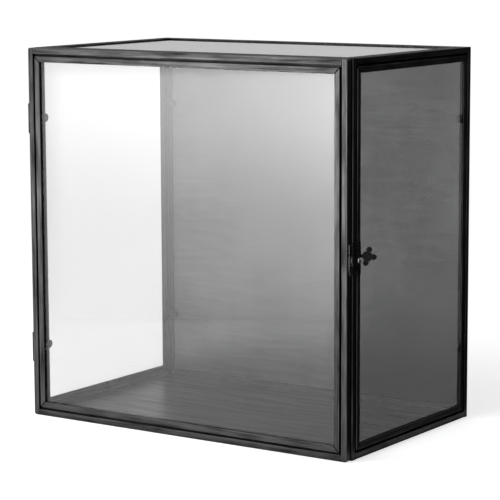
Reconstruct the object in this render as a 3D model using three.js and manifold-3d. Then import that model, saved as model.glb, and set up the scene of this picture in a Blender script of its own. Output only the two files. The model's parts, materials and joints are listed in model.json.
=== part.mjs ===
// Glass and steel display box: a case of square corner bars with a framed pane or sheet on every face,
// an overlay glass door on two butt hinges, and a small hook latch on the right side.
// Millimetres, +Z up, door towards -Y, origin at the centre of the underside.

import * as THREE from 'three';
import { mergeVertices } from 'three/addons/utils/BufferGeometryUtils.js';
import Module from 'manifold-3d';

const wasm = await Module();
wasm.setup();

// Overall size, from the door's front face to the back face
const width = 400;
const depth = 250;
const height = 400;

// Clearances: between pieces that are fixed together, and between pieces that move on each other
const seatGap = 0.3;
const runningGap = 0.3;

// Corner bars, the outer band of every face
const barSize = 6.4;
const barBevel = 0.5;

// Framing strips, the inner band of a face, behind a groove
const grooveWidth = 2.4;
const grooveDepth = 3;
const flangeWidth = 6.2;
const flangeThickness = 1;
const wallThickness = 1;
const stripBevel = 0.4;

// Door, which overlays the front of the case
const doorThickness = 7.8;
const doorGap = 3;
const doorFloorClearance = 0.5;
const doorCornerRadius = 2.5;
const doorFlangeThickness = 2;

// Panes and sheets
const glassThickness = 3;
const backSheetThickness = 1.5;
const basePlateThickness = 3;
const paneEdgeClearance = 0.6;
const paneArris = 0.3;

// Clips that hold the left pane: round buttons cut flat beside the bar
const clipSpacing = 248;
const clipRadius = 4.6;
const clipInset = 10.4;
const clipThickness = 2.4;

// Butt hinges on the left side, with their barrels beside the gap
const hingeSpacing = 249;
const hingeLength = 32;
const knuckleCount = 3;
const barrelRadius = 1.8;
const leafThickness = 0.9;
const leafWidth = 8.9;
const pinRadius = 0.8;
const pinHeadRadius = 1.5;
const pinHeadHeight = 0.5;

// Plates of the latch and the keeper
const plateThickness = 1.2;
const plateRise = 1;
const latchRise = 2;
const latchPlateWidth = 13.2;
const latchPlateHeight = 34;
const latchPlateRadius = 2;
const keeperWidth = 5.6;
const keeperHeight = 31.4;
const keeperBackInset = 0.2;
const keeperPointHeight = 6;
const keeperPointWidth = 1.6;

// Lug on the keeper, an arc about the latch pivot
const lugThickness = 1.6;
const lugHalfAngle = 26;

// Hook lever and its pivot, a screw with a slotted round head
const pivotInset = 3.8;
const washerRadius = 3.4;
const washerThickness = 1.6;
const pivotRadius = 1.4;
const pivotHeadRadius = 2.6;
const pivotHeadHeight = 1.4;
const slotWidth = 0.7;
const slotDepth = 0.8;
const hubRadius = 3.6;
const leverThickness = 1.5;
const armEndWidth = 5;
const hookThickness = 1.7;
const hookHalfAngle = 12;

// Three-lobed thumb piece, standing out from the lever
const thumbThickness = 3;
const thumbReach = 14.6;
const thumbRise = 4.9;
const thumbStemHeight = 3.5;
const thumbWebRadius = 5.2;
const thumbEdgeRound = 0.9;
const lobeRadius = 2.9;
const lobeDistance = 7.1;
const lobeAngles = [-106, 0, 73];

// How finely round shapes are divided, and the overrun of a cut that goes right through
const roundSides = 24;
const cornerSteps = 4;
const rimSteps = 3;
const cutOverrun = 1;

// Places that follow from the sizes above
const bodyDepth = depth - doorThickness - doorGap;
const doorHeight = height - doorFloorClearance;
const doorFront = -depth / 2;
const doorBack = doorFront + doorThickness;
const bodyFront = doorBack + doorGap;
const bodyBack = depth / 2;
const bodyMiddle = (bodyFront + bodyBack) / 2;

const steel = new THREE.MeshStandardMaterial({ color: 0x4a4b4d, roughness: 0.45, metalness: 0.7 });
const sheetSteel = new THREE.MeshStandardMaterial({ color: 0x6c6d6f, roughness: 0.5, metalness: 0.6 });
const blackMetal = new THREE.MeshStandardMaterial({ color: 0x141416, roughness: 0.25, metalness: 0.7 });
const clearGlass = new THREE.MeshStandardMaterial({
  color: 0xdde4e2, roughness: 0.05, metalness: 0, transparent: true, opacity: 0.25,
});

const displayBox = new THREE.Group();

function addMesh(parent, name, geometry, material) {
  const mesh = new THREE.Mesh(geometry, material);
  mesh.name = name;
  parent.add(mesh);
  return mesh;
}

// Booleans

function toSolid(geometry) {
  const bare = geometry.clone();
  bare.deleteAttribute('normal');
  bare.deleteAttribute('uv');
  const merged = mergeVertices(bare);
  const vertProperties = new Float32Array(merged.attributes.position.array);
  const triVerts = new Uint32Array(merged.index.array);
  return new wasm.Manifold(new wasm.Mesh({ numProp: 3, vertProperties, triVerts }));
}

function toGeometry(solid) {
  const { vertProperties, numProp, triVerts } = solid.getMesh();
  const geometry = new THREE.BufferGeometry();
  geometry.setAttribute('position', new THREE.BufferAttribute(vertProperties, numProp));
  geometry.setIndex(new THREE.BufferAttribute(triVerts, 1));
  return geometry;
}

function unite(first, ...others) {
  return toGeometry(others.reduce((solid, other) => solid.add(toSolid(other)), toSolid(first)));
}

function cut(first, ...others) {
  return toGeometry(others.reduce((solid, other) => solid.subtract(toSolid(other)), toSolid(first)));
}

// Basic shapes

function outline(points) {
  return new THREE.Shape(points.map(([x, y]) => new THREE.Vector2(x, y)));
}

function rectangle(across, up) {
  const x = across / 2;
  const y = up / 2;
  return outline([[-x, -y], [x, -y], [x, y], [-x, y]]);
}

function bevelledRectangle(across, up, bevel) {
  const x = across / 2;
  const y = up / 2;
  return outline([
    [bevel - x, -y], [x - bevel, -y], [x, bevel - y], [x, y - bevel],
    [x - bevel, y], [bevel - x, y], [-x, y - bevel], [-x, bevel - y],
  ]);
}

function roundedRectangle(across, up, radius) {
  const x = across / 2 - radius;
  const y = up / 2 - radius;
  const shape = new THREE.Shape();
  shape.absarc(x, y, radius, 0, Math.PI / 2);
  shape.absarc(-x, y, radius, Math.PI / 2, Math.PI);
  shape.absarc(-x, -y, radius, Math.PI, -Math.PI / 2);
  shape.absarc(x, -y, radius, -Math.PI / 2, 0);
  return shape;
}

// A band of a ring, centred on an angle in degrees
function ringBand(inner, outer, middleAngle, halfAngle) {
  const from = THREE.MathUtils.degToRad(middleAngle - halfAngle);
  const to = THREE.MathUtils.degToRad(middleAngle + halfAngle);
  const shape = new THREE.Shape();
  shape.absarc(0, 0, outer, from, to, false);
  shape.absarc(0, 0, inner, to, from, true);
  return shape;
}

// Extrudes an outline along +Z from low to high
function prism(shape, low, high) {
  const geometry = new THREE.ExtrudeGeometry(shape, {
    depth: high - low, bevelEnabled: false, curveSegments: cornerSteps,
  });
  return geometry.translate(0, 0, low);
}

// The same, with both rims bevelled inward
function bevelledPrism(shape, low, high, bevel) {
  const geometry = new THREE.ExtrudeGeometry(shape, {
    depth: high - low - 2 * bevel,
    bevelThickness: bevel,
    bevelSize: bevel,
    bevelOffset: -bevel,
    bevelSegments: 1,
    curveSegments: cornerSteps,
  });
  return geometry.translate(0, 0, low + bevel);
}

// A solid of revolution about Z, from [radius, height] points
function turned(points) {
  const profile = points.map(([radius, z]) => new THREE.Vector2(radius, z));
  return new THREE.LatheGeometry(profile, roundSides).rotateX(Math.PI / 2);
}

function cylinder(radius, low, high) {
  return turned([[0, low], [radius, low], [radius, high], [0, high]]);
}

function ring(inner, outer, low, high) {
  return turned([[inner, low], [outer, low], [outer, high], [inner, high], [inner, low]]);
}

// Faces: each group's XY plane is the outside of one face, with Z pointing out, X to the right and
// Y up as the face is seen from outside (and to the back on the top)

function addFace(parent, x, y, z, tilt, turn) {
  const face = new THREE.Group();
  face.rotation.set(tilt, 0, turn, 'ZXY');
  face.position.set(x, y, z);
  parent.add(face);
  return face;
}

// Case: four posts over the full height, with rails between them

function cornerBar(across, up, low, high) {
  return prism(bevelledRectangle(across, up, barBevel), low, high);
}

function addCornerBars(parent) {
  const sides = [['left', (barSize - width) / 2], ['right', (width - barSize) / 2]];
  const ends = [['front', bodyFront + barSize / 2], ['back', bodyBack - barSize / 2]];
  const levels = [['bottom', barSize / 2], ['top', height - barSize / 2]];
  const crossReach = width / 2 - barSize - seatGap;
  const sideReach = bodyDepth / 2 - barSize - seatGap;
  for (const [end, y] of ends) {
    for (const [side, x] of sides) {
      const post = cornerBar(barSize, barSize, 0, height);
      addMesh(parent, `post_${end}_${side}`, post, steel).position.set(x, y, 0);
    }
    for (const [level, z] of levels) {
      const rail = cornerBar(barSize, barSize, -crossReach, crossReach).rotateY(Math.PI / 2);
      addMesh(parent, `rail_${level}_${end}`, rail, steel).position.set(0, y, z);
    }
  }
  for (const [side, x] of sides) {
    for (const [level, z] of levels) {
      const rail = cornerBar(barSize, barSize, -sideReach, sideReach).rotateX(Math.PI / 2);
      addMesh(parent, `rail_${level}_${side}`, rail, steel).position.set(x, bodyMiddle, z);
    }
  }
}

function addBasePlate(parent) {
  const across = width - 2 * (barSize + seatGap);
  const along = bodyDepth - 2 * (barSize + seatGap);
  const plate = bevelledPrism(rectangle(across, along), 0, basePlateThickness, paneArris);
  addMesh(parent, 'base_plate', plate, sheetSteel).position.set(0, bodyMiddle, 0);
}

// Framing strips: a pressed section with a foot at the bottom of the groove, a wall, and the flange
// that shows; x runs in from the face's outer edge and y is the depth below the face
function stripSection(flange) {
  const footStart = barSize + seatGap;
  const wallStart = barSize + grooveWidth;
  const wallEnd = wallStart + wallThickness;
  const flangeEnd = wallStart + flangeWidth;
  const footDepth = grooveDepth + wallThickness;
  return outline([
    [wallStart + stripBevel, 0],
    [flangeEnd - stripBevel, 0],
    [flangeEnd, stripBevel],
    [flangeEnd, flange],
    [wallEnd, flange],
    [wallEnd, footDepth],
    [footStart, footDepth],
    [footStart, grooveDepth],
    [wallStart, grooveDepth],
    [wallStart, stripBevel],
  ]);
}

// One strip along the lower edge of a face, its ends sheared to a mitre with the seat gap between them
function mitredStrip(length, reach, flange) {
  const strip = prism(stripSection(flange), 0, 1);
  const points = strip.attributes.position;
  const setBack = seatGap * Math.SQRT1_2;
  for (let i = 0; i < points.count; i += 1) {
    const inset = points.getX(i);
    const end = 1 - 2 * points.getZ(i);
    points.setXYZ(i, end * (length / 2 - inset - setBack), inset - reach / 2, -points.getY(i));
  }
  return strip;
}

// The four strips of a face; edgeNames name its lower, right, upper and left edges
function addStrips(face, prefix, edgeNames, across, up, flange = flangeThickness) {
  edgeNames.forEach((edge, index) => {
    const upright = index % 2 === 1;
    const strip = upright ? mitredStrip(up, across, flange) : mitredStrip(across, up, flange);
    addMesh(face, `${prefix}_strip_${edge}`, strip, steel).rotation.z = index * Math.PI / 2;
  });
}

// A pane or sheet behind the flanges of a face's strips
function addPane(face, name, across, up, thickness, material, flange = flangeThickness) {
  const inset = barSize + grooveWidth + wallThickness + paneEdgeClearance;
  const front = -flange - seatGap;
  const shape = rectangle(across - 2 * inset, up - 2 * inset);
  addMesh(face, name, bevelledPrism(shape, front - thickness, front, paneArris), material);
}

// A clip on the lower edge of a face: its foot stands on the strip and its tongue reaches over the pane
function paneClip() {
  const footStart = barSize + seatGap;
  const footDepth = grooveDepth + wallThickness + seatGap;
  const tongueStart = barSize + grooveWidth + wallThickness + seatGap;
  const tongueDepth = flangeThickness + glassThickness + 2 * seatGap;
  const flatAngle = Math.asin((clipInset - footStart) / clipRadius);
  const button = new THREE.Shape();
  button.absarc(0, clipInset, clipRadius, -flatAngle, Math.PI + flatAngle);
  const reach = clipRadius + cutOverrun;
  const underTongue = outline([
    [-reach, tongueStart], [reach, tongueStart], [reach, clipInset + reach], [-reach, clipInset + reach],
  ]);
  const solid = prism(button, -tongueDepth - clipThickness, -footDepth);
  return cut(solid, prism(underTongue, -tongueDepth, cutOverrun));
}

// Each place is a name, a number of quarter turns from the lower edge, and a distance along the edge
function addLeftClips(face) {
  const places = [
    ['bottom', 0, 0],
    ['top', 2, 0],
    ['front_upper', 1, clipSpacing / 2],
    ['front_lower', 1, -clipSpacing / 2],
    ['back_upper', 3, -clipSpacing / 2],
    ['back_lower', 3, clipSpacing / 2],
  ];
  for (const [place, quarterTurns, along] of places) {
    const reach = quarterTurns % 2 === 1 ? bodyDepth : height;
    const clip = paneClip().translate(along, -reach / 2, 0);
    addMesh(face, `left_clip_${place}`, clip, steel).rotation.z = quarterTurns * Math.PI / 2;
  }
}

function addCaseFaces(parent) {
  const middle = height / 2;
  const left = addFace(parent, -width / 2, bodyMiddle, middle, Math.PI / 2, -Math.PI / 2);
  addStrips(left, 'left', ['bottom', 'front', 'top', 'back'], bodyDepth, height);
  addPane(left, 'left_glass', bodyDepth, height, glassThickness, clearGlass);
  addLeftClips(left);

  const right = addFace(parent, width / 2, bodyMiddle, middle, Math.PI / 2, Math.PI / 2);
  addStrips(right, 'right', ['bottom', 'back', 'top', 'front'], bodyDepth, height);
  addPane(right, 'right_glass', bodyDepth, height, glassThickness, clearGlass);

  const top = addFace(parent, 0, bodyMiddle, height, 0, 0);
  addStrips(top, 'top', ['front', 'right', 'back', 'left'], width, bodyDepth);
  addPane(top, 'top_glass', width, bodyDepth, glassThickness, clearGlass);

  const back = addFace(parent, 0, bodyBack, middle, Math.PI / 2, Math.PI);
  addStrips(back, 'back', ['bottom', 'left', 'top', 'right'], width, height);
  addPane(back, 'back_panel', width, height, backSheetThickness, sheetSteel);
}

// Door: two stiles with rounded outer corners, rails between them, and strips with thicker flanges, so
// that its pane sits further back than those of the case

function doorStile() {
  const inner = -barSize / 2;
  const arcX = barSize / 2 - doorCornerRadius;
  const arcY = doorHeight / 2 - doorCornerRadius;
  const shape = new THREE.Shape();
  shape.absarc(arcX, -arcY, doorCornerRadius, -Math.PI / 2, 0);
  shape.absarc(arcX, arcY, doorCornerRadius, 0, Math.PI / 2);
  shape.lineTo(inner, doorHeight / 2);
  shape.lineTo(inner, -doorHeight / 2);
  return bevelledPrism(shape, -doorThickness, 0, barBevel);
}

function addDoor(parent) {
  const face = addFace(parent, 0, doorFront, doorFloorClearance + doorHeight / 2, Math.PI / 2, 0);
  const stileX = (width - barSize) / 2;
  const railY = (doorHeight - barSize) / 2;
  const railReach = width / 2 - barSize - seatGap;
  addMesh(face, 'door_stile_right', doorStile(), steel).position.x = stileX;
  addMesh(face, 'door_stile_left', doorStile().rotateZ(Math.PI), steel).position.x = -stileX;
  for (const [level, y] of [['bottom', -railY], ['top', railY]]) {
    const rail = cornerBar(doorThickness, barSize, -railReach, railReach).rotateY(Math.PI / 2);
    addMesh(face, `door_rail_${level}`, rail, steel).position.set(0, y, -doorThickness / 2);
  }
  addStrips(face, 'door', ['bottom', 'right', 'top', 'left'], width, doorHeight, doorFlangeThickness);
  addPane(face, 'door_glass', width, doorHeight, glassThickness, clearGlass, doorFlangeThickness);
}

// Hinges: one leaf lies on the left side of the door and the other on the left side of the case

// A leaf about its pin on Z; its plate is on the +Y side of the pin, and it owns every second knuckle
function hingeLeaf(firstKnuckle) {
  const knuckleLength = hingeLength / knuckleCount;
  const plateStart = barrelRadius + runningGap;
  const plateBack = barrelRadius - leafThickness;
  const halfHeight = hingeLength / 2;
  const plateOutline = outline([
    [plateStart, plateBack], [leafWidth, plateBack], [leafWidth, barrelRadius], [plateStart, barrelRadius],
  ]);
  const tabOutline = outline([
    [0, plateBack], [plateStart, plateBack], [plateStart, barrelRadius], [0, barrelRadius],
  ]);
  const pieces = [prism(plateOutline, -halfHeight, halfHeight)];
  for (let i = firstKnuckle; i < knuckleCount; i += 2) {
    const low = i * knuckleLength - halfHeight + runningGap / 2;
    const high = low + knuckleLength - runningGap;
    pieces.push(cylinder(barrelRadius, low, high));
    pieces.push(prism(tabOutline, low, high));
  }
  const bore = cylinder(pinRadius + runningGap, -halfHeight - cutOverrun, halfHeight + cutOverrun);
  return cut(unite(...pieces), bore);
}

function hingePin() {
  const headStart = hingeLength / 2 + seatGap;
  const headEnd = headStart + pinHeadHeight;
  return turned([
    [0, -headEnd], [pinHeadRadius, -headEnd], [pinHeadRadius, -headStart], [pinRadius, -headStart],
    [pinRadius, headStart], [pinHeadRadius, headStart], [pinHeadRadius, headEnd], [0, headEnd],
  ]);
}

function addHinge(parent, prefix, z) {
  const hinge = new THREE.Group();
  hinge.position.set(-width / 2 - seatGap - barrelRadius, (doorBack + bodyFront) / 2, z);
  parent.add(hinge);
  const caseLeaf = hingeLeaf(0).rotateX(Math.PI).rotateZ(Math.PI / 2);
  const doorLeaf = hingeLeaf(1).rotateZ(-Math.PI / 2);
  addMesh(hinge, `${prefix}_hinge_case_leaf`, caseLeaf, blackMetal);
  addMesh(hinge, `${prefix}_hinge_door_leaf`, doorLeaf, blackMetal);
  addMesh(hinge, `${prefix}_hinge_pin`, hingePin(), blackMetal);
}

// Latch: a group on the right side at the pivot, with Z pointing out, X to the back and Y up

const keeperDistance = pivotInset + bodyFront - doorBack + keeperBackInset + keeperWidth / 2;
const plateTop = seatGap + plateThickness;
const washerTop = plateTop + seatGap + washerThickness;
const leverBottom = washerTop + runningGap;
const leverTop = leverBottom + leverThickness;
const hookInner = keeperDistance + lugThickness / 2 + runningGap;

function latchPlate() {
  const shape = roundedRectangle(latchPlateWidth, latchPlateHeight, latchPlateRadius);
  return prism(shape, seatGap, plateTop).translate(latchPlateWidth / 2 - pivotInset, plateRise, 0);
}

// The pivot stands on the plate and holds the lever under its slotted, domed head
function latchPivot() {
  const headStart = leverTop + runningGap;
  const points = [[0, plateTop + seatGap], [pivotRadius, plateTop + seatGap], [pivotRadius, headStart]];
  for (let i = 0; i <= rimSteps; i += 1) {
    const angle = (i / rimSteps) * Math.PI / 2;
    const radius = i < rimSteps ? pivotHeadRadius * Math.cos(angle) : 0;
    points.push([radius, headStart + pivotHeadHeight * Math.sin(angle)]);
  }
  const headTop = headStart + pivotHeadHeight;
  const slotLength = 2 * (pivotHeadRadius + cutOverrun);
  const slot = prism(rectangle(slotLength, slotWidth), headTop - slotDepth, headTop + cutOverrun);
  return cut(turned(points), slot);
}

// A disc across the thumb piece's plane with rounded rims, at a place along and up from the pivot
function thumbDisc(radius, reach, rise) {
  const flat = thumbThickness / 2;
  const points = [[0, -flat]];
  for (const side of [-1, 1]) {
    for (let i = 0; i <= rimSteps; i += 1) {
      const share = side < 0 ? i / rimSteps : 1 - i / rimSteps;
      const angle = share * Math.PI / 2;
      const rim = radius - thumbEdgeRound * (1 - Math.sin(angle));
      points.push([rim, side * (flat - thumbEdgeRound * (1 - Math.cos(angle)))]);
    }
  }
  points.push([0, flat]);
  return turned(points).rotateY(Math.PI / 2).translate(0, rise, reach);
}

function thumbStem() {
  const shape = rectangle(thumbThickness - thumbEdgeRound, thumbStemHeight);
  return prism(shape, leverBottom, thumbReach).translate(0, thumbRise, 0);
}

function thumbPiece() {
  const pieces = [thumbStem(), thumbDisc(thumbWebRadius, thumbReach, thumbRise)];
  for (const lobeAngle of lobeAngles) {
    const angle = THREE.MathUtils.degToRad(lobeAngle);
    const reach = thumbReach + lobeDistance * Math.cos(angle);
    const rise = thumbRise + lobeDistance * Math.sin(angle);
    pieces.push(thumbDisc(lobeRadius, reach, rise));
  }
  return unite(...pieces);
}

// The lever stands up when released, and a quarter turn forward brings its hook over the lug
function latchLever() {
  const hookMiddle = hookInner + hookThickness / 2;
  const armOutline = outline([
    [-hubRadius, 0], [hubRadius, 0], [armEndWidth / 2, hookMiddle], [-armEndWidth / 2, hookMiddle],
  ]);
  const hub = cylinder(hubRadius, leverBottom, leverTop);
  const arm = prism(armOutline, leverBottom, leverTop);
  const hook = prism(
    ringBand(hookInner, hookInner + hookThickness, 90, hookHalfAngle), plateTop + runningGap, leverTop,
  );
  const bore = cylinder(pivotRadius + runningGap, leverBottom - cutOverrun, leverTop + cutOverrun);
  return unite(cut(unite(hub, arm, hook), bore), thumbPiece());
}

// The keeper's plate has a round top and a narrow foot, and carries the lug for the hook
function keeper() {
  const half = keeperWidth / 2;
  const top = keeperHeight / 2 + plateRise;
  const bottom = plateRise - keeperHeight / 2;
  const shape = new THREE.Shape();
  shape.moveTo(-keeperPointWidth / 2, bottom);
  shape.lineTo(keeperPointWidth / 2, bottom);
  shape.lineTo(half, bottom + keeperPointHeight);
  shape.absarc(0, top - half, half, 0, Math.PI);
  shape.lineTo(-half, bottom + keeperPointHeight);
  const plate = prism(shape, seatGap, plateTop).translate(-keeperDistance, 0, 0);
  const lugInner = keeperDistance - lugThickness / 2;
  const lug = prism(ringBand(lugInner, lugInner + lugThickness, 180, lugHalfAngle), seatGap, washerTop);
  return unite(plate, lug);
}

function addLatch(parent) {
  const pivotY = bodyFront + pivotInset;
  const latch = addFace(parent, width / 2, pivotY, height / 2 + latchRise, Math.PI / 2, Math.PI / 2);
  addMesh(latch, 'latch_plate', latchPlate(), blackMetal);
  const washer = ring(pivotRadius + seatGap, washerRadius, plateTop + seatGap, washerTop);
  addMesh(latch, 'latch_washer', washer, blackMetal);
  addMesh(latch, 'latch_pivot', latchPivot(), blackMetal);
  addMesh(latch, 'latch_lever', latchLever(), blackMetal);
  addMesh(latch, 'keeper', keeper(), blackMetal);
}

addCornerBars(displayBox);
addBasePlate(displayBox);
addCaseFaces(displayBox);
addDoor(displayBox);
addHinge(displayBox, 'upper', (height + hingeSpacing) / 2);
addHinge(displayBox, 'lower', (height - hingeSpacing) / 2);
addLatch(displayBox);

export default displayBox;
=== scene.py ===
import json
import math

import bmesh
import bpy
from mathutils import Matrix, Vector


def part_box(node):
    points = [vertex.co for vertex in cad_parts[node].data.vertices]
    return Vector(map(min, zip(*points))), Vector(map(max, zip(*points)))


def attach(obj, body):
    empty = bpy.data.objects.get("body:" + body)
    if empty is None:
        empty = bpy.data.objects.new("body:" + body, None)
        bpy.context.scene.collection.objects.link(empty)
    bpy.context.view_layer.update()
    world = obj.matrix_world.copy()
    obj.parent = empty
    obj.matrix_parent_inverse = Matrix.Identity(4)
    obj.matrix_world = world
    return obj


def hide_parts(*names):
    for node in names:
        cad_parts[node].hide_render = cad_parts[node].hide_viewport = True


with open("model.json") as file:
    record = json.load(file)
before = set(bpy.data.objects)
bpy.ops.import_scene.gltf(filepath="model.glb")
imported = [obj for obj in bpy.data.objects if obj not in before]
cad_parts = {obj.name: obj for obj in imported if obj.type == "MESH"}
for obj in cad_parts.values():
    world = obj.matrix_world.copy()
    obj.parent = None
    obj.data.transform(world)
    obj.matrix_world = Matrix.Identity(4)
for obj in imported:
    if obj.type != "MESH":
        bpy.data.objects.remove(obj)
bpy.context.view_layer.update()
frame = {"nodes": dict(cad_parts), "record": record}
nodes = frame["nodes"]

MM = 0.001
EVEN = (1, 1, 1)

# Camera, as fitted to the photograph's corners, in metres and degrees
IMAGE_WIDTH = 500
SENSOR_WIDTH = 36
CAMERA_PLACE = (1.2928, -1.9039, 0.5244)
CAMERA_YAW = 34.16
CAMERA_PITCH = -8.46
CAMERA_ROLL = -0.232
FOCAL_PIXELS = 2158.9

# Studio, in metres
FLOOR_HALF = 30
FLOOR_GLOW_RAMP = (1.0, 4.0)
SOFTBOX_PLACE = (-0.3925, -0.69, 0.18)
SOFTBOX_WIDTH = 0.5
SOFTBOX_HEIGHT = 0.36
FILL_PLACE = (-0.5, -1.1, 1.5)
FILL_SIZE = 1.4
CARD_NEAR_X = 0.215
CARD_FAR_X = 0.6
CARD_Y = (-0.1, 1.4)
CARD_HEIGHT = 0.9
CARD_LIFT = 1 * MM
SHADE_DISTANCE = 3.2
SHADE_HALF_WIDTH = 2.0
SHADE_HEIGHTS = (0.45, 2.6)
SHADE_RAMP = (-0.3, 0.15)

# Levels of light, where 1 looks white, and the shares of the softbox's size over which they change
SOFTBOX_LEVELS = (1.2, 6.0)
SOFTBOX_RAMP_SHARES = (0.0, 0.85)
SOFTBOX_UPPER_EXTRA = 1.8
SOFTBOX_UPPER_SHARES = (0.38, 0.72)
SOFTBOX_EDGE_SHARES = (0.91, 0.97)
SOFTBOX_EDGE_DIMMING = 0.3
SOFTBOX_SIDE_LEVELS = (0.76, 2.05)
SOFTBOX_SIDE_POWER = 2
SOFTBOX_LEFT_SHARES = (0.07, 0.15)
SOFTBOX_RIGHT_SHARES = (0.91, 0.99)
FILL_LEVEL = 3.0
WORLD_LIGHT = 0.4
FLOOR_GLOW_LEVELS = (0.58, 0.72)
SHADE_LEVELS = (0.6, 0.62)

# Plain colours and roughness of the studio
FLOOR_COLOUR = (0.8, 0.8, 0.8, 1)
CARD_COLOUR = (0.01, 0.01, 0.01, 1)
WHITE = (1, 1, 1, 1)
MATT_ROUGHNESS = 0.9

# Sizes that the shaders use, in metres
EDGE_WEAR_RADIUS = 0.6 * MM
# Reach of the ambient occlusion that paints shade into the grooves and gaps of the frame steel
RECESS_REACH = 6 * MM
MITRE_DIRT_REACH = (0.6 * MM, 1.1 * MM)
STEEL_RELIEF = 0.03 * MM
SHEET_RELIEF = 0.02 * MM
SATIN_RELIEF = 0.02 * MM
PEEL_RELIEF = 0.03 * MM
GLASS_RELIEF = 0.04 * MM
# Spans over which painted shade darkens the back sheet towards its lower right
SHEET_SHADE_X = (20 * MM, 80 * MM)
SHEET_SHADE_Z = (230 * MM, 0)
# Span over which painted shade darkens the base plate towards its right
PLATE_SHADE_X = (-20 * MM, 160 * MM)

# How edges and recesses are told apart from flats
EDGE_SAMPLES = 4
EDGE_WEAR_COSINES = (0.98, 0.85)
RECESS_SAMPLES = 6
RECESS_OPEN_SHARES = (0.4, 0.9)

# Spans of a noise over which a colour or roughness changes, most of them about its middle of 0.5
CRISP_SPAN = (0.38, 0.62)
SOFT_SPAN = (0.35, 0.65)
FAINT_SPAN = (0.25, 0.75)
RUBBED_SPAN = (0.35, 0.6)
STAIN_SPAN = (0.4, 0.55)

# Greys are base colours from black at 0 to white at 1, and the cool ones have their blue times this
COOL = 1.02
COOLER = 1.05
FAINTLY_COOL = 1.01

# Dark patinated steel of the bars and strips
PATINA_GREYS = (0.014, 0.088)
WORN_STEEL_GREY = 0.16
# Painted shade: the colour that the frame steel darkens to in grooves and gaps
RECESS_SHADE_GREY = 0.003
MITRE_GREY = 0.001
STEEL_TINT_GREY = 0.45
STEEL_ROUGHNESS = (0.46, 0.3)

# Back sheet and base plate
SHEET_METALLIC_SHARE = 0.95
SHEET_GREYS = (0.06, 0.13)
# Painted shade: the colour that the back sheet darkens to at its lower right
SHEET_SHADE_GREY = 0.02
SHEET_ROUGHNESS = (0.33, 0.28)
PLATE_GREYS = (0.02, 0.09)
# Painted shade: the colour that the base plate darkens to at its right
PLATE_SHADE_GREY = 0.012
PLATE_ROUGHNESS = (0.48, 0.28)

# Satin steel of the clips and screws
CLIP_GREY = 0.05
SCREW_GREY = 0.09
SATIN_METALLIC_SHARE = 0.8
SATIN_STAIN_SHARE = 0.55
SATIN_ROUGHNESS = (0.28, 0.45)

# Black finish of the hinges, the latch and the keeper, and how bare its edges are rubbed
BLACK_GREYS = (0.002, 0.006)
BLACK_SPECULAR_LEVEL = 0.04
BLACK_ROUGHNESS = (0.28, 0.42)
BARE_STEEL_GREY = 0.6
LATCH_BARE_SHARE = 0.12
KEEPER_BARE_SHARE = 1.0
LEAST_RUBBED_SHARE = 0.4

# Polished steel of the pivot's head
POLISHED_GREYS = (0.08, 0.5)
POLISHED_ROUGHNESS = (0.14, 0.26)

# Glass, and what it lets through of the light that falls on the inside
GLASS_GREYS = (0.86, 0.88)
GLASS_IOR = 1.5
GLASS_SHADOW_COLOUR = (0.93, 0.94, 0.935, 1)

# Pane clips, sized as in the solids, and their screws, in metres
CLIP_SPACING = 248 * MM
CLIP_RADIUS = 4.6 * MM
CLIP_INSET = 10.4 * MM
CLIP_THICKNESS = 2.4 * MM
CLIP_RIM = 0.5 * MM
PAD_RIM = 0.1 * MM
SCREW_RADIUS = 1.8 * MM
SCREW_HEIGHT = 0.8 * MM
SCREW_INSET = 9.6 * MM
SCREW_SKIRT_SHARE = 0.35
CROSS_LENGTH = 2.0 * MM
CROSS_WIDTH = 0.5 * MM
CROSS_DEPTH = 0.6 * MM

# Rivets, in metres
RIVET_RADIUS = 1.3 * MM
RIVET_HEIGHT = 0.35 * MM
RIVET_INSET = 3.1 * MM
RIVET_SKIRT_SHARE = 0.2

# Fineness of the meshes, with the angle in degrees
ROUND_SIDES = 32
RIM_STEPS = 4
SHARP_ANGLE = 40


# Camera


def add_camera():
    yaw = math.radians(CAMERA_YAW)
    pitch = math.radians(CAMERA_PITCH)
    roll = math.radians(CAMERA_ROLL)
    level_share = math.cos(pitch)
    forward = Vector((-math.sin(yaw) * level_share, math.cos(yaw) * level_share, math.sin(pitch)))
    level_right = Vector((math.cos(yaw), math.sin(yaw), 0))
    level_up = level_right.cross(forward)
    right = level_right * math.cos(roll) + level_up * math.sin(roll)
    up = level_up * math.cos(roll) - level_right * math.sin(roll)
    turn = Matrix((right, up, -forward)).transposed().to_4x4()
    data = bpy.data.cameras.new("camera")
    data.sensor_width = SENSOR_WIDTH
    data.lens = SENSOR_WIDTH * FOCAL_PIXELS / IMAGE_WIDTH
    camera = bpy.data.objects.new("camera", data)
    camera.matrix_world = Matrix.Translation(CAMERA_PLACE) @ turn
    bpy.context.scene.collection.objects.link(camera)
    bpy.context.scene.camera = camera


# Shader nodes


def feed(tree, socket, value):
    """Links a socket to another one, or sets its value."""
    if isinstance(value, bpy.types.NodeSocket):
        tree.links.new(value, socket)
    else:
        socket.default_value = value


def new_material(name):
    material = bpy.data.materials.new(name)
    material.use_nodes = True
    material.node_tree.nodes.clear()
    return material


def set_surface(tree, shader):
    output = tree.nodes.new("ShaderNodeOutputMaterial")
    tree.links.new(shader, output.inputs["Surface"])


def principled(tree, **values):
    """A principled shader whose sockets have these values, with _ for the blanks in their names."""
    shader = tree.nodes.new("ShaderNodeBsdfPrincipled")
    for name, value in values.items():
        feed(tree, shader.inputs[name.replace("_", " ")], value)
    return shader.outputs["BSDF"]


def place(tree, stretch=EVEN):
    """Object coordinates, stretched along each axis."""
    coordinates = tree.nodes.new("ShaderNodeTexCoord")
    mapping = tree.nodes.new("ShaderNodeMapping")
    tree.links.new(coordinates.outputs["Object"], mapping.inputs["Vector"])
    mapping.inputs["Scale"].default_value = stretch
    return mapping.outputs["Vector"]


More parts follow.
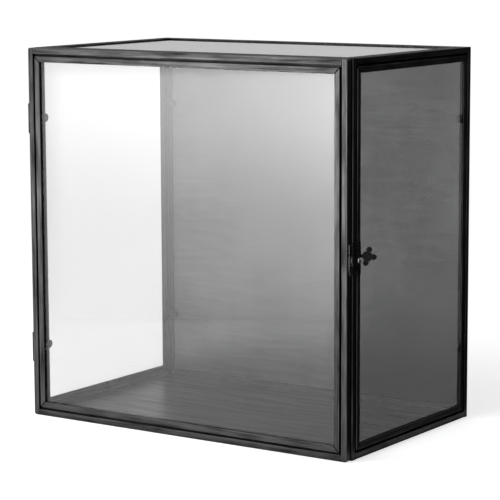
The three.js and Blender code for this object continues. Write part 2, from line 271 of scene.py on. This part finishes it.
def axes(tree, vector):
    """The sockets of a vector's X, Y and Z."""
    parts = tree.nodes.new("ShaderNodeSeparateXYZ")
    tree.links.new(vector, parts.inputs["Vector"])
    return parts.outputs


def noise(tree, stretch, scale, detail, roughness=0.5):
    node = tree.nodes.new("ShaderNodeTexNoise")
    tree.links.new(place(tree, stretch), node.inputs["Vector"])
    node.inputs["Scale"].default_value = scale
    node.inputs["Detail"].default_value = detail
    node.inputs["Roughness"].default_value = roughness
    return node.outputs["Fac"]


def remap(tree, value, span, results):
    """The first result where the value starts the span, and the second where it ends it."""
    node = tree.nodes.new("ShaderNodeMapRange")
    feed(tree, node.inputs["Value"], value)
    node.inputs["From Min"].default_value = span[0]
    node.inputs["From Max"].default_value = span[1]
    node.inputs["To Min"].default_value = results[0]
    node.inputs["To Max"].default_value = results[1]
    return node.outputs["Result"]


def ramp(tree, axis, span):
    """0 to 1 along one object axis, over a span in metres."""
    return remap(tree, axes(tree, place(tree))[axis], span, (0, 1))


def math_node(tree, operation, first, second):
    node = tree.nodes.new("ShaderNodeMath")
    node.operation = operation
    feed(tree, node.inputs[0], first)
    feed(tree, node.inputs[1], second)
    return node.outputs["Value"]


def blend(tree, first, second, share):
    """The first value and the second one, weighted by 1 - share and share."""
    kept = math_node(tree, "MULTIPLY", first, 1 - share)
    return math_node(tree, "ADD", kept, math_node(tree, "MULTIPLY", second, share))


def mix_colour(tree, share, first, second):
    """The first colour at a share of 0 and the second at 1, by the Mix node's unnamed colour sockets."""
    node = tree.nodes.new("ShaderNodeMix")
    node.data_type = "RGBA"
    feed(tree, node.inputs["Factor"], share)
    feed(tree, node.inputs[6], first)
    feed(tree, node.inputs[7], second)
    return node.outputs[2]


def shaded(tree, value, span, first, second):
    """The first colour where the value starts the span, and the second where it ends it."""
    return mix_colour(tree, remap(tree, value, span, (0, 1)), first, second)


def grey(level, blue_share=1.0):
    return (level, level, level * blue_share, 1)


def bump(tree, height, distance, strength):
    node = tree.nodes.new("ShaderNodeBump")
    tree.links.new(height, node.inputs["Height"])
    node.inputs["Distance"].default_value = distance
    node.inputs["Strength"].default_value = strength
    return node.outputs["Normal"]


def edge_wear(tree):
    """1 on outer edges and corners, falling to 0 on flats."""
    bevel = tree.nodes.new("ShaderNodeBevel")
    bevel.samples = EDGE_SAMPLES
    bevel.inputs["Radius"].default_value = EDGE_WEAR_RADIUS
    geometry = tree.nodes.new("ShaderNodeNewGeometry")
    cosine = tree.nodes.new("ShaderNodeVectorMath")
    cosine.operation = "DOT_PRODUCT"
    tree.links.new(bevel.outputs["Normal"], cosine.inputs[0])
    tree.links.new(geometry.outputs["Normal"], cosine.inputs[1])
    return remap(tree, cosine.outputs["Value"], EDGE_WEAR_COSINES, (0, 1))


def unshaded_share(tree):
    """1 on open surfaces, falling to 0 deep in grooves and gaps, where it darkens the steel's colour as
    painted shade.
    """
    occlusion = tree.nodes.new("ShaderNodeAmbientOcclusion")
    occlusion.samples = RECESS_SAMPLES
    occlusion.inputs["Distance"].default_value = RECESS_REACH
    return remap(tree, occlusion.outputs["AO"], RECESS_OPEN_SHARES, (0, 1))


def mitre_dirt(tree, low, high):
    """1 along the mitre joints of four strips that lie in a flat box, falling to 0 beside them."""
    middle = (low + high) / 2
    size = high - low
    along = axes(tree, place(tree))
    insets = []
    for axis in sorted(range(3), key=lambda i: size[i])[1:]:
        offset = math_node(tree, "SUBTRACT", along[axis], middle[axis])
        distance = math_node(tree, "ABSOLUTE", offset, 0)
        insets.append(math_node(tree, "SUBTRACT", size[axis] / 2, distance))
    off_mitre = math_node(tree, "ABSOLUTE", math_node(tree, "SUBTRACT", *insets), 0)
    return remap(tree, off_mitre, MITRE_DIRT_REACH, (1, 0))


# Materials


def surfaced(material, **values):
    """The material, with a principled shader of these values as its surface."""
    tree = material.node_tree
    set_surface(tree, principled(tree, **values))
    return material


def drawn_out(axis, share):
    """A stretch that makes a pattern longer along one axis: the smaller the share, the longer."""
    return tuple(share if i == axis else 1 for i in range(3))


def frame_steel(name, axis, mitred_box=None):
    """Dark patinated steel: streaks along the bar, patches, worn edges, dirt in mitres, and painted shade
    in recesses.
    """
    material = new_material(name)
    tree = material.node_tree
    fine = noise(tree, drawn_out(axis, 0.02), scale=900, detail=3, roughness=0.6)
    broad = noise(tree, drawn_out(axis, 0.06), scale=300, detail=3, roughness=0.55)
    patches = noise(tree, drawn_out(axis, 0.3), scale=90, detail=4, roughness=0.6)
    grain = noise(tree, EVEN, scale=2600, detail=2)
    tone = blend(tree, blend(tree, fine, broad, share=0.4), patches, share=0.3)
    dark, light = PATINA_GREYS
    patina = shaded(tree, tone, CRISP_SPAN, grey(dark, COOLER), grey(light, COOL))
    worn = math_node(tree, "MULTIPLY", edge_wear(tree), patches)
    surface = mix_colour(tree, worn, patina, grey(WORN_STEEL_GREY, COOL))
    if mitred_box:
        surface = mix_colour(tree, mitre_dirt(tree, *mitred_box), surface, grey(MITRE_GREY))
    return surfaced(
        material,
        Metallic=1.0,
        Specular_Tint=grey(STEEL_TINT_GREY),
        # Painted shade: the steel's colour darkens to near black in grooves and gaps, by ambient occlusion
        Base_Color=mix_colour(tree, unshaded_share(tree), grey(RECESS_SHADE_GREY), surface),
        Roughness=remap(tree, tone, SOFT_SPAN, STEEL_ROUGHNESS),
        Normal=bump(tree, blend(tree, fine, grain, share=0.35), STEEL_RELIEF, strength=0.8),
    )


def back_sheet(name):
    """Mill-finish sheet, darkened at its lower right by painted shade: soft clouds, fine level ripples,
    upright smears.
    """
    material = new_material(name)
    tree = material.node_tree
    clouds = noise(tree, EVEN, scale=11, detail=2, roughness=0.4)
    smears = noise(tree, (1, 1, 0.15), scale=70, detail=3)
    ripples = noise(tree, (0.1, 1, 1), scale=220, detail=2)
    tone = blend(tree, blend(tree, clouds, smears, share=0.3), ripples, share=0.4)
    dark, light = SHEET_GREYS
    sheet = shaded(tree, tone, SOFT_SPAN, grey(dark, COOL), grey(light, COOL))
    # Painted shade: the sheet's colour darkens towards its lower right
    painted_shade_share = math_node(tree, "MULTIPLY", ramp(tree, "X", SHEET_SHADE_X), ramp(tree, "Z", SHEET_SHADE_Z))
    return surfaced(
        material,
        Metallic=SHEET_METALLIC_SHARE,
        Base_Color=mix_colour(tree, painted_shade_share, sheet, grey(SHEET_SHADE_GREY, COOL)),
        Roughness=remap(tree, tone, FAINT_SPAN, SHEET_ROUGHNESS),
        Normal=bump(tree, ripples, SHEET_RELIEF, strength=0.6),
    )


def floor_sheet(name):
    """Darker plate, darkened towards the right by painted shade: long rubbed streaks from left to right
    over faint clouds.
    """
    material = new_material(name)
    tree = material.node_tree
    streaks = noise(tree, (0.05, 1, 1), scale=240, detail=3, roughness=0.55)
    clouds = noise(tree, (0.5, 1, 1), scale=9, detail=3)
    tone = blend(tree, streaks, clouds, share=0.35)
    dark, light = PLATE_GREYS
    plate = shaded(tree, tone, CRISP_SPAN, grey(dark, COOL), grey(light, COOL))
    # Painted shade: the plate's colour darkens towards its right
    painted_shade_share = ramp(tree, "X", PLATE_SHADE_X)
    return surfaced(
        material,
        Metallic=SHEET_METALLIC_SHARE,
        Base_Color=mix_colour(tree, painted_shade_share, plate, grey(PLATE_SHADE_GREY, COOL)),
        Roughness=remap(tree, tone, CRISP_SPAN, PLATE_ROUGHNESS),
        Normal=bump(tree, streaks, SHEET_RELIEF, strength=0.5),
    )


def satin_steel(name, level):
    """Satin steel of the clips and screws, with a fine turned grain."""
    material = new_material(name)
    tree = material.node_tree
    grain = noise(tree, (1, 1, 0.3), scale=1800, detail=3)
    stains = noise(tree, EVEN, scale=220, detail=3)
    stained = grey(SATIN_STAIN_SHARE * level)
    return surfaced(
        material,
        Metallic=SATIN_METALLIC_SHARE,
        Base_Color=shaded(tree, stains, SOFT_SPAN, stained, grey(level, FAINTLY_COOL)),
        Roughness=remap(tree, grain, SOFT_SPAN, SATIN_ROUGHNESS),
        Normal=bump(tree, grain, SATIN_RELIEF, strength=0.4),
    )


def black_metal(name, bare_share):
    """Black finish, slightly uneven, with its edges rubbed to bare steel by the given share."""
    material = new_material(name)
    tree = material.node_tree
    peel = noise(tree, EVEN, scale=700, detail=2)
    stains = noise(tree, EVEN, scale=180, detail=4)
    rubbed = remap(tree, stains, RUBBED_SPAN, (LEAST_RUBBED_SHARE * bare_share, bare_share))
    worn = math_node(tree, "MULTIPLY", edge_wear(tree), rubbed)
    dark, light = BLACK_GREYS
    black = mix_colour(tree, stains, grey(dark), grey(light, COOLER))
    return surfaced(
        material,
        Specular_IOR_Level=BLACK_SPECULAR_LEVEL,
        Base_Color=mix_colour(tree, worn, black, grey(BARE_STEEL_GREY, COOL)),
        Metallic=worn,
        Roughness=remap(tree, stains, SOFT_SPAN, BLACK_ROUGHNESS),
        Normal=bump(tree, peel, PEEL_RELIEF, strength=0.5),
    )


def polished_steel(name):
    """Polished steel of the pivot's head, with fine scratches and dark stains."""
    material = new_material(name)
    tree = material.node_tree
    scratches = noise(tree, (1, 1, 0.2), scale=1500, detail=3)
    stains = noise(tree, EVEN, scale=350, detail=4)
    dark, light = POLISHED_GREYS
    return surfaced(
        material,
        Metallic=1.0,
        Base_Color=shaded(tree, stains, STAIN_SPAN, grey(dark), grey(light)),
        Roughness=remap(tree, scratches, SOFT_SPAN, POLISHED_ROUGHNESS),
        Normal=bump(tree, scratches, SATIN_RELIEF, strength=0.4),
    )


def through(tree, path, output, shader):
    """Lets one kind of ray straight through a glass shader."""
    clear = tree.nodes.new("ShaderNodeBsdfTransparent")
    clear.inputs["Color"].default_value = GLASS_SHADOW_COLOUR
    mix = tree.nodes.new("ShaderNodeMixShader")
    tree.links.new(path.outputs[output], mix.inputs["Fac"])
    tree.links.new(shader, mix.inputs[1])
    tree.links.new(clear.outputs["BSDF"], mix.inputs[2])
    return mix.outputs["Shader"]


def clear_glass(name):
    """Old clear pane: smooth, faintly wavy and unevenly tinted, and it lets lamps light the inside."""
    material = new_material(name)
    tree = material.node_tree
    waves = noise(tree, (1, 1, 0.6), scale=18, detail=2)
    smears = noise(tree, (1, 1, 0.4), scale=45, detail=3)
    dark, light = GLASS_GREYS
    pane = principled(
        tree,
        Transmission_Weight=1.0,
        IOR=GLASS_IOR,
        Roughness=0.0,
        Base_Color=mix_colour(tree, smears, grey(dark), grey(light)),
        Normal=bump(tree, waves, GLASS_RELIEF, strength=0.2),
    )
    path = tree.nodes.new("ShaderNodeLightPath")
    lit = through(tree, path, "Is Shadow Ray", pane)
    set_surface(tree, through(tree, path, "Is Diffuse Ray", lit))
    return material


def dress(node, material):
    node.data.materials.clear()
    node.data.materials.append(material)


# Stage: pale floor, soft world, a large softbox at the front left with a fill lamp above it, and cards
# that shade the reflections


def seen_share(tree):
    """1 for rays from the camera, from gloss and through glass, and 0 for rays that only bring light."""
    path = tree.nodes.new("ShaderNodeLightPath")
    share = math_node(tree, "MAXIMUM", path.outputs["Is Camera Ray"], path.outputs["Is Glossy Ray"])
    return math_node(tree, "MAXIMUM", share, path.outputs["Is Transmission Ray"])


def add_world():
    world = bpy.data.worlds.new("world")
    world.use_nodes = True
    tree = world.node_tree
    background = tree.nodes["Background"]
    background.inputs["Color"].default_value = WHITE
    feed(tree, background.inputs["Strength"], remap(tree, seen_share(tree), (0, 1), (WORLD_LIGHT, 1)))
    bpy.context.scene.world = world


def flat_mesh(name, corners):
    mesh = bpy.data.meshes.new(name)
    mesh.from_pydata(corners, [], [(0, 1, 2, 3)])
    stand = bpy.data.objects.new(name, mesh)
    bpy.context.scene.collection.objects.link(stand)
    return stand


def add_floor():
    half = FLOOR_HALF
    floor = flat_mesh("floor", [(-half, -half, 0), (half, -half, 0), (half, half, 0), (-half, half, 0)])
    material = new_material("floor_paper")
    tree = material.node_tree
    distance = tree.nodes.new("ShaderNodeVectorMath")
    distance.operation = "LENGTH"
    tree.links.new(place(tree), distance.inputs[0])
    glow = remap(tree, distance.outputs["Value"], FLOOR_GLOW_RAMP, FLOOR_GLOW_LEVELS)
    dress(floor, surfaced(
        material,
        Base_Color=FLOOR_COLOUR,
        Roughness=MATT_ROUGHNESS,
        Specular_IOR_Level=0,
        Emission_Color=WHITE,
        Emission_Strength=math_node(tree, "MULTIPLY", seen_share(tree), glow),
    ))


def only_in_gloss(card):
    card.visible_camera = False
    card.visible_diffuse = False
    card.visible_transmission = False
    card.visible_shadow = False


def add_dark_card():
    """A folded dark card, lying beside the box and standing behind it, which only gloss sees."""
    low, high = CARD_Y
    near, far = CARD_NEAR_X, CARD_FAR_X
    lift = CARD_LIFT
    lying = [(near, low, lift), (far, low, lift), (far, high, lift), (near, high, lift)]
    standing = [(far, low, 0), (far, high, 0), (far, high, CARD_HEIGHT), (far, low, CARD_HEIGHT)]
    black = surfaced(new_material("card_black"), Base_Color=CARD_COLOUR, Roughness=MATT_ROUGHNESS)
    for name, corners in (("dark_card_lying", lying), ("dark_card_standing", standing)):
        card = flat_mesh(name, corners)
        dress(card, black)
        only_in_gloss(card)


def add_far_shade():
    """A large grey card far behind the box, a touch lighter to the right, which only gloss sees."""
    low, high = SHADE_HEIGHTS
    half = SHADE_HALF_WIDTH
    card = flat_mesh("far_shade", [(-half, 0, low), (half, 0, low), (half, 0, high), (-half, 0, high)])
    turn = Matrix.Rotation(math.radians(CAMERA_YAW), 4, "Z")
    card.matrix_world = turn @ Matrix.Translation((0, SHADE_DISTANCE, 0))
    material = new_material("shade_grey")
    tree = material.node_tree
    level = remap(tree, axes(tree, place(tree))["X"], SHADE_RAMP, SHADE_LEVELS)
    emission = tree.nodes.new("ShaderNodeEmission")
    feed(tree, emission.inputs["Strength"], level)
    set_surface(tree, emission.outputs["Emission"])
    dress(card, material)
    only_in_gloss(card)


def area_lamp(name, width, height, level, location, away):
    """A rectangular lamp that looks as bright as the level all over, facing back along away."""
    data = bpy.data.lights.new(name, "AREA")
    data.shape = "RECTANGLE"
    data.size = width
    data.size_y = height
    data.energy = math.pi * width * height * level
    lamp = bpy.data.objects.new(name, data)
    lamp.location = location
    lamp.rotation_euler = away.to_track_quat("Z", "Y").to_euler()
    lamp.visible_camera = False
    lamp.visible_transmission = False
    bpy.context.scene.collection.objects.link(lamp)
    return lamp


def add_softbox():
    """The softbox grows brighter to the right and upwards, up to its dim top edge, and its ends fade."""
    away = Vector((*SOFTBOX_PLACE[:2], 0))
    softbox = area_lamp("softbox", SOFTBOX_WIDTH, SOFTBOX_HEIGHT, 1, SOFTBOX_PLACE, away)
    softbox.data.use_nodes = True
    tree = softbox.data.node_tree
    geometry = tree.nodes.new("ShaderNodeNewGeometry")
    shares = axes(tree, geometry.outputs["Parametric"])
    level = remap(tree, shares["Y"], SOFTBOX_RAMP_SHARES, SOFTBOX_LEVELS)
    extra = remap(tree, shares["Y"], SOFTBOX_UPPER_SHARES, (0, SOFTBOX_UPPER_EXTRA))
    edge = remap(tree, shares["Y"], SOFTBOX_EDGE_SHARES, (1, SOFTBOX_EDGE_DIMMING))
    sideways = math_node(tree, "POWER", shares["X"], SOFTBOX_SIDE_POWER)
    side = remap(tree, sideways, (0, 1), SOFTBOX_SIDE_LEVELS)
    left = remap(tree, shares["X"], SOFTBOX_LEFT_SHARES, (0, 1))
    right = remap(tree, shares["X"], SOFTBOX_RIGHT_SHARES, (1, 0))
    upwards = math_node(tree, "MULTIPLY", math_node(tree, "ADD", level, extra), edge)
    across = math_node(tree, "MULTIPLY", side, math_node(tree, "MULTIPLY", left, right))
    feed(tree, tree.nodes["Emission"].inputs["Strength"], math_node(tree, "MULTIPLY", upwards, across))


# Meshes


def prism(outline, low, high):
    bm = bmesh.new()
    base = bm.faces.new([bm.verts.new((x, y, low)) for x, y in outline])
    grown = bmesh.ops.extrude_face_region(bm, geom=[base])["geom"]
    lifted = [v for v in grown if isinstance(v, bmesh.types.BMVert)]
    bmesh.ops.translate(bm, verts=lifted, vec=(0, 0, high - low))
    bmesh.ops.recalc_face_normals(bm, faces=bm.faces)
    return bm


def rounded_prism(outline, low, high, rim):
    """A prism over an outline in X and Y, its upper and lower rims rounded."""
    bm = prism(outline, low, high)
    rims = [e for e in bm.edges if abs(e.verts[0].co.z - e.verts[1].co.z) < rim / 2]
    bmesh.ops.bevel(bm, geom=rims, offset=rim, segments=RIM_STEPS, profile=0.5, affect="EDGES")
    return bm


def turned(points):
    """A solid of revolution about Z from (radius, height) points, which start and end on the axis."""
    bm = bmesh.new()
    angles = [2 * math.pi * i / ROUND_SIDES for i in range(ROUND_SIDES)]
    rings = []
    for radius, z in points:
        if radius == 0:
            rings.append([bm.verts.new((0, 0, z))])
            continue
        rings.append([bm.verts.new((radius * math.cos(a), radius * math.sin(a), z)) for a in angles])
    for lower, upper in zip(rings, rings[1:]):
        for i in range(ROUND_SIDES):
            corners = [lower[i % len(lower)], lower[(i + 1) % len(lower)]]
            corners += [upper[(i + 1) % len(upper)], upper[i % len(upper)]]
            bm.faces.new(list(dict.fromkeys(corners)))
    bmesh.ops.recalc_face_normals(bm, faces=bm.faces)
    return bm


def domed_head(radius, height, skirt_share):
    """(radius, height) points of a low dome on a short upright skirt."""
    points = [(0, 0), (radius, 0)]
    for i in range(RIM_STEPS + 1):
        angle = math.pi / 2 * i / RIM_STEPS
        rise = skirt_share + (1 - skirt_share) * math.sin(angle)
        points.append((radius * math.cos(angle) if i < RIM_STEPS else 0, height * rise))
    return points


def finished(bm, name):
    """The mesh of a bmesh, shaded smooth except at its sharp edges."""
    mesh = bpy.data.meshes.new(name)
    bm.to_mesh(mesh)
    bm.free()
    mesh.polygons.foreach_set("use_smooth", [True] * len(mesh.polygons))
    mesh.set_sharp_from_angle(angle=math.radians(SHARP_ANGLE))
    return mesh


def minus(mesh, cutter):
    """The mesh with the cutter's solid taken out of it."""
    body = bpy.data.objects.new("body", mesh)
    tool = bpy.data.objects.new("tool", cutter)
    for thing in (body, tool):
        bpy.context.scene.collection.objects.link(thing)
    modifier = body.modifiers.new("cut", "BOOLEAN")
    modifier.operation = "DIFFERENCE"
    modifier.solver = "EXACT"
    modifier.object = tool
    graph = bpy.context.evaluated_depsgraph_get()
    result = bpy.data.meshes.new_from_object(body.evaluated_get(graph))
    bpy.data.objects.remove(body)
    bpy.data.objects.remove(tool)
    return result


def add_copies(name, mesh, places, material, body):
    """Adds one piece that has a copy of the mesh at each place."""
    bm = bmesh.new()
    for matrix in places:
        start = len(bm.verts)
        bm.from_mesh(mesh)
        bm.verts.ensure_lookup_table()
        bmesh.ops.transform(bm, matrix=matrix, verts=bm.verts[start:])
    piece = bpy.data.objects.new(name, finished(bm, name))
    bpy.context.scene.collection.objects.link(piece)
    dress(piece, material)
    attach(piece, body)
    return piece


# Faces of the box: each has a matrix from its own X, Y and outward Z, its size, and the depths below it
# of the strips' feet and of the inside of its pane or sheet


def face(origin, right, up, size, depths):
    right = Vector(right)
    up = Vector(up)
    turn = Matrix((right, up, right.cross(up))).transposed().to_4x4()
    return {
        "matrix": Matrix.Translation(origin) @ turn,
        "across": size[0],
        "tall": size[1],
        "foot_depth": depths[0],
        "pane_depth": depths[1],
    }


def box_faces():
    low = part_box("post_front_left")[0]
    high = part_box("post_back_right")[1]
    middle = (low + high) / 2
    width, depth, height = high - low
    door_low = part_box("door_stile_left")[0]
    door_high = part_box("door_stile_right")[1]
    door_middle = (door_low + door_high) / 2
    door_centre = (door_middle.x, door_low.y, door_middle.z)
    door_size = (width, door_high.z - door_low.z)
    side_size = (depth, height)
    side_depths = (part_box("left_strip_front")[1].x - low.x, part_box("left_glass")[1].x - low.x)
    top_depths = (high.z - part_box("top_strip_left")[0].z, high.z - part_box("top_glass")[0].z)
    back_depths = (high.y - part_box("back_strip_left")[0].y, high.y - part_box("back_panel")[0].y)
    door_depths = (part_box("door_strip_left")[1].y - door_low.y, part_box("door_glass")[1].y - door_low.y)
    up = (0, 0, 1)
    return {
        "left": face((low.x, middle.y, middle.z), (0, -1, 0), up, side_size, side_depths),
        "right": face((high.x, middle.y, middle.z), (0, 1, 0), up, side_size, side_depths),
        "top": face((middle.x, middle.y, high.z), (1, 0, 0), (0, 1, 0), (width, depth), top_depths),
        "back": face((middle.x, high.y, middle.z), (-1, 0, 0), up, (width, height), back_depths),
        "door": face(door_centre, (1, 0, 0), up, door_size, door_depths),
    }


def edge_places(side, spots):
    """Matrices of places along a face's edges, for spots of (quarter turns, distance along the edge)."""
    places = []
    for quarter_turns, along in spots:
        reach = side["across"] if quarter_turns % 2 else side["tall"]
        turn = Matrix.Rotation(quarter_turns * math.pi / 2, 4, "Z")
        places.append(side["matrix"] @ turn @ Matrix.Translation((along, -reach / 2, 0)))
    return places


# Clips and screws


def clip_outline(flat):
    """A round button about (0, CLIP_INSET), cut off straight at the flat."""
    angle = math.asin((CLIP_INSET - flat) / CLIP_RADIUS)
    points = []
    for i in range(ROUND_SIDES + 1):
        a = -angle + (math.pi + 2 * angle) * i / ROUND_SIDES
        points.append((CLIP_RADIUS * math.cos(a), CLIP_INSET + CLIP_RADIUS * math.sin(a)))
    return points


def clip_mesh(side):
    """A clip and the height of its top: a button, and a pad out to the shallower of strip foot and pane."""
    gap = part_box("rail_top_front")[0].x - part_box("post_front_left")[1].x
    post_low, post_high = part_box("post_front_left")
    foot_start = post_high.x - post_low.x + gap
    pane_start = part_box("left_glass")[0].z - post_low.z
    button = clip_outline(foot_start)
    outer, inner = sorted((side["foot_depth"], side["pane_depth"]))
    if side["foot_depth"] < side["pane_depth"]:
        pad = [(x, y) for x, y in button if y < pane_start - gap]
    else:
        pad = [(x, y) for x, y in button if y > pane_start]
    bottom = -inner - gap
    top = bottom - CLIP_THICKNESS
    bm = rounded_prism(button, top, bottom, CLIP_RIM)
    pad_mesh = finished(rounded_prism(pad, bottom - CLIP_THICKNESS / 2, -outer - gap, PAD_RIM), "pad")
    bm.from_mesh(pad_mesh)
    bpy.data.meshes.remove(pad_mesh)
    return finished(bm, "clip"), top


def screw_mesh():
    """A low pan head with a cross recess, standing down from z = 0."""
    points = [(radius, -z) for radius, z in domed_head(SCREW_RADIUS, SCREW_HEIGHT, SCREW_SKIRT_SHARE)]
    length = CROSS_LENGTH / 2
    width = CROSS_WIDTH / 2
    cross = []
    for c, s in ((1, 0), (0, 1), (-1, 0), (0, -1)):
        for along, aside in ((length, -width), (length, width), (width, width)):
            cross.append((along * c - aside * s, along * s + aside * c))
    head = finished(turned(points), "screw")
    return minus(head, finished(prism(cross, -2 * SCREW_HEIGHT, CROSS_DEPTH - SCREW_HEIGHT), "cross"))


def add_clips(faces, clip_metal, screw_metal):
    half = CLIP_SPACING / 2
    on_uprights = [(1, half), (1, -half), (3, half), (3, -half)]
    on_levels = [(0, half), (0, -half), (2, half), (2, -half)]
    around_side = on_uprights + [(0, 0), (2, 0)]
    spots = {
        "left": around_side,
        "right": around_side,
        "top": on_levels + [(1, 0), (3, 0)],
        "back": on_uprights,
        "door": on_uprights + on_levels,
    }
    screw = screw_mesh()
    for name, side in faces.items():
        clip, top = clip_mesh(side)
        places = edge_places(side, spots[name])
        heads = [place @ Matrix.Translation((0, SCREW_INSET, top)) for place in places]
        body = "door" if name == "door" else "case"
        clips = add_copies(f"{name}_clips", clip, places, clip_metal, body)
        if name == "left":
            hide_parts(*(node for node in nodes if node.startswith("left_clip_")))
        add_copies(f"{name}_clip_screws", screw, heads, screw_metal, body)


# Rivets


def add_rivets(metal):
    rivet = finished(turned(domed_head(RIVET_RADIUS, RIVET_HEIGHT, RIVET_SKIRT_SHARE)), "rivet")
    outward = Matrix.Rotation(math.pi / 2, 4, "Y")
    low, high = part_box("latch_plate")
    middle = (low.y + high.y) / 2
    spots = [(high.x, middle, low.z + RIVET_INSET), (high.x, middle, high.z - RIVET_INSET)]
    places = [Matrix.Translation(spot) @ outward for spot in spots]
    add_copies("latch_plate_rivets", rivet, places, metal, "case")


# Assembly


def steel_along(side, axis):
    """Frame steel with its streaks along an axis; that of a face's strips has dirt at their mitres."""
    letter = "xyz"[axis]
    if not side:
        return frame_steel(f"frame_steel_{letter}", axis)
    boxes = [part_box(node) for node in nodes if node.startswith(f"{side}_strip_")]
    low = Vector(min(box[0][i] for box in boxes) for i in range(3))
    high = Vector(max(box[1][i] for box in boxes) for i in range(3))
    return frame_steel(f"strip_steel_{side}_{letter}", axis, (low, high))


def dress_nodes(clip_metal, black):
    """Gives each CAD node the material of its slot; bars and strips get streaks along their length."""
    of_slot = {"clip_steel": clip_metal, "black_metal": black, "clear_glass": clear_glass("clear_glass")}
    own = {
        "back_panel": back_sheet("panel_steel"),
        "base_plate": floor_sheet("plate_steel"),
        "keeper": black_metal("rubbed_black_metal", KEEPER_BARE_SHARE),
        "latch_pivot": polished_steel("polished_steel"),
    }
    steels = {}
    for part in frame["record"]["subparts"]:
        name = part["node"]
        if name in own:
            dress(nodes[name], own[name])
        elif part["material_slot"] == "frame_steel":
            low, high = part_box(name)
            size = list(high - low)
            side = name.split("_strip_")[0] if "_strip_" in name else ""
            key = (side, size.index(max(size)))
            if key not in steels:
                steels[key] = steel_along(*key)
            dress(nodes[name], steels[key])
        else:
            dress(nodes[name], of_slot[part["material_slot"]])


bpy.context.scene.view_settings.view_transform = "Standard"
add_camera()
add_world()
add_floor()
add_dark_card()
add_far_shade()
add_softbox()
area_lamp("fill", FILL_SIZE, FILL_SIZE, FILL_LEVEL, FILL_PLACE, Vector(FILL_PLACE))
clip_metal = satin_steel("clip_steel", CLIP_GREY)
black = black_metal("black_metal", LATCH_BARE_SHARE)
dress_nodes(clip_metal, black)
add_clips(box_faces(), clip_metal, satin_steel("screw_steel", SCREW_GREY))
add_rivets(black)
